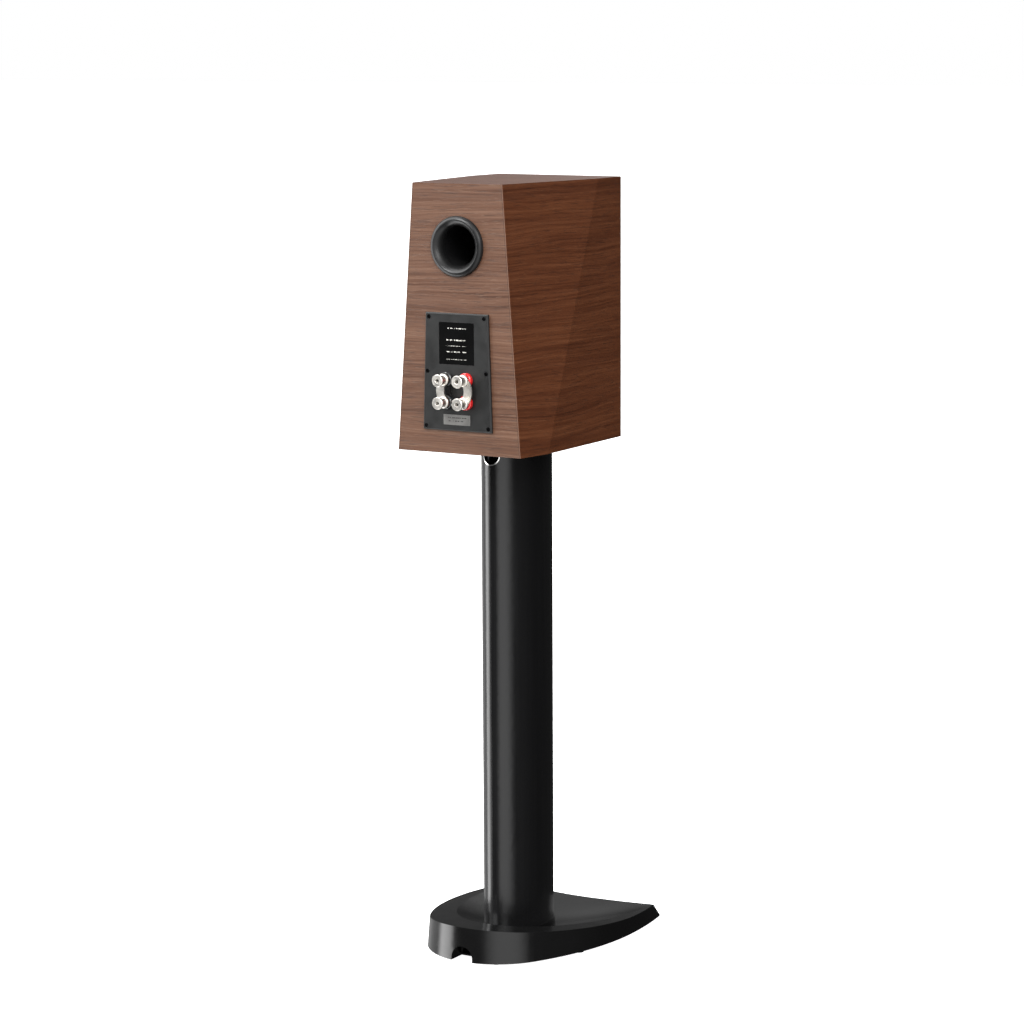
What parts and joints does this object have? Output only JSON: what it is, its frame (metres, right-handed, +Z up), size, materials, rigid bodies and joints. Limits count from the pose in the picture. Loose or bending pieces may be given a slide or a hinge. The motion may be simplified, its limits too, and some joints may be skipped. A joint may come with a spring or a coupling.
{
  "type": "bookshelf speaker",
  "caption": "Faceted wooden two-way loudspeaker with rear port and bi-wire binding posts, bolted to a tall black floor stand.",
  "frame": {"origin": "on the floor, under the centre of the whole object's box", "axes": "+Z up; -Y out of the front baffle, +Y out of the rear panel; +X to the speaker's side that is on the right seen from the front"},
  "size_m": [0.2852, 0.3834, 1.121],
  "materials": {
    "walnut_veneer": "satin veneer",
    "baffle_veneer": "satin veneer",
    "raw_board": "raw",
    "felt": "felt",
    "black_plastic": "satin",
    "cast_basket": "painted satin",
    "cone_metal": "satin anodised",
    "surround_rubber": "matte",
    "spider_cloth": "resin cloth",
    "copper": "enamelled",
    "motor_steel": "zinc plated",
    "ferrite": "matt",
    "black_screw": "black oxide",
    "guard_metal": "satin",
    "circuit_board": "solder mask",
    "capacitor_film": "gloss",
    "resistor_ceramic": "matt",
    "wire_insulation": "gloss",
    "terminal_black": "fine grain",
    "label_black": "gloss",
    "label_silver": "satin",
    "post_metal": "satin nickel",
    "post_red": "translucent",
    "post_black": "gloss",
    "stand_black": "satin black",
    "base_black": "satin black",
    "notch_chrome": "polished"
  },
  "bodies": {
    "speaker_and_stand": {"cabinet_back": "walnut_veneer", "cabinet_top": "walnut_veneer", "cabinet_bottom": "walnut_veneer", "cabinet_side_left": "walnut_veneer", "cabinet_side_right": "walnut_veneer", "front_baffle": "baffle_veneer", "cabinet_brace": "raw_board", "damping_felt": "felt", "port_flange": "black_plastic", "port_tube": "black_plastic", "port_inner_flare": "black_plastic", "tweeter_faceplate": "black_plastic", "woofer_trim_ring": "black_plastic", "woofer_basket": "cast_basket", "woofer_surround": "surround_rubber", "tweeter_surround": "surround_rubber", "isolation_pads": "surround_rubber", "base_feet": "surround_rubber", "woofer_spider": "spider_cloth", "crossover_inductors": "copper", "woofer_top_plate": "motor_steel", "woofer_yoke": "motor_steel", "tweeter_top_plate": "motor_steel", "tweeter_yoke": "motor_steel", "woofer_magnet": "ferrite", "tweeter_magnet": "ferrite", "driver_screws": "black_screw", "terminal_plate_screws": "black_screw", "speaker_bolts": "black_screw", "column_bolts": "black_screw", "tweeter_guard": "guard_metal", "crossover_board": "circuit_board", "crossover_capacitors": "capacitor_film", "crossover_resistors": "resistor_ceramic", "internal_wires": "wire_insulation", "terminal_plate": "terminal_black", "terminal_label": "label_black", "rating_label": "label_silver", "post_studs": "post_metal", "jumper_red": "post_metal", "jumper_black": "post_metal", "post_rings_red": "post_red", "post_rings_black": "post_black", "stand_column": "stand_black", "stand_top_plate": "stand_black", "stand_base": "base_black", "cable_notch_trim": "notch_chrome"},
    "woofer_diaphragm": {"woofer_cone": "cone_metal", "woofer_dust_cap": "cone_metal", "woofer_voice_coil": "copper"},
    "tweeter_diaphragm": {"tweeter_dome": "cone_metal", "tweeter_voice_coil": "copper"},
    "clamp_red_high": {"clamp_washer_red_high": "post_metal"},
    "nut_red_high": {"post_nut_red_high": "post_metal"},
    "clamp_red_low": {"clamp_washer_red_low": "post_metal"},
    "nut_red_low": {"post_nut_red_low": "post_metal"},
    "clamp_black_high": {"clamp_washer_black_high": "post_metal"},
    "nut_black_high": {"post_nut_black_high": "post_metal"},
    "clamp_black_low": {"clamp_washer_black_low": "post_metal"},
    "nut_black_low": {"post_nut_black_low": "post_metal"}
  },
  "joints": [
    {"name": "woofer_stroke", "type": "slide", "parent": "speaker_and_stand", "child": "woofer_diaphragm", "axis": [0, -1, 0], "range_m": [-0.005, 0.005], "stiffness_N_per_m": 900, "deforming": ["woofer_surround", "woofer_spider"]},
    {"name": "tweeter_stroke", "type": "slide", "parent": "speaker_and_stand", "child": "tweeter_diaphragm", "axis": [0, -1, 0], "range_m": [-0.0004, 0.0004], "stiffness_N_per_m": 500, "deforming": ["tweeter_surround"]},
    {"name": "clamp_slide_red_high", "type": "slide", "parent": "speaker_and_stand", "child": "clamp_red_high", "axis": [0, 1, 0], "range_m": [0, 0.0045]},
    {"name": "nut_turn_red_high", "type": "hinge", "parent": "clamp_red_high", "child": "nut_red_high", "pos_m": [-0.01615, 0.18115, 0.8467], "axis": [0, 1, 0], "range_deg": [0, 1080]},
    {"name": "clamp_slide_red_low", "type": "slide", "parent": "speaker_and_stand", "child": "clamp_red_low", "axis": [0, 1, 0], "range_m": [0, 0.0045]},
    {"name": "nut_turn_red_low", "type": "hinge", "parent": "clamp_red_low", "child": "nut_red_low", "pos_m": [-0.01615, 0.18115, 0.8148], "axis": [0, 1, 0], "range_deg": [0, 1080]},
    {"name": "clamp_slide_black_high", "type": "slide", "parent": "speaker_and_stand", "child": "clamp_black_high", "axis": [0, 1, 0], "range_m": [0, 0.0045]},
    {"name": "nut_turn_black_high", "type": "hinge", "parent": "clamp_black_high", "child": "nut_black_high", "pos_m": [0.01615, 0.18115, 0.8467], "axis": [0, 1, 0], "range_deg": [0, 1080]},
    {"name": "clamp_slide_black_low", "type": "slide", "parent": "speaker_and_stand", "child": "clamp_black_low", "axis": [0, 1, 0], "range_m": [0, 0.0045]},
    {"name": "nut_turn_black_low", "type": "hinge", "parent": "clamp_black_low", "child": "nut_black_low", "pos_m": [0.01615, 0.18115, 0.8148], "axis": [0, 1, 0], "range_deg": [0, 1080]}
  ],
  "couplings": [
    {"joint": "nut_turn_red_high", "follows": "clamp_slide_red_high", "rad_per_m": 4188.8},
    {"joint": "nut_turn_red_low", "follows": "clamp_slide_red_low", "rad_per_m": 4188.8},
    {"joint": "nut_turn_black_high", "follows": "clamp_slide_black_high", "rad_per_m": 4188.8},
    {"joint": "nut_turn_black_low", "follows": "clamp_slide_black_low", "rad_per_m": 4188.8}
  ]
}
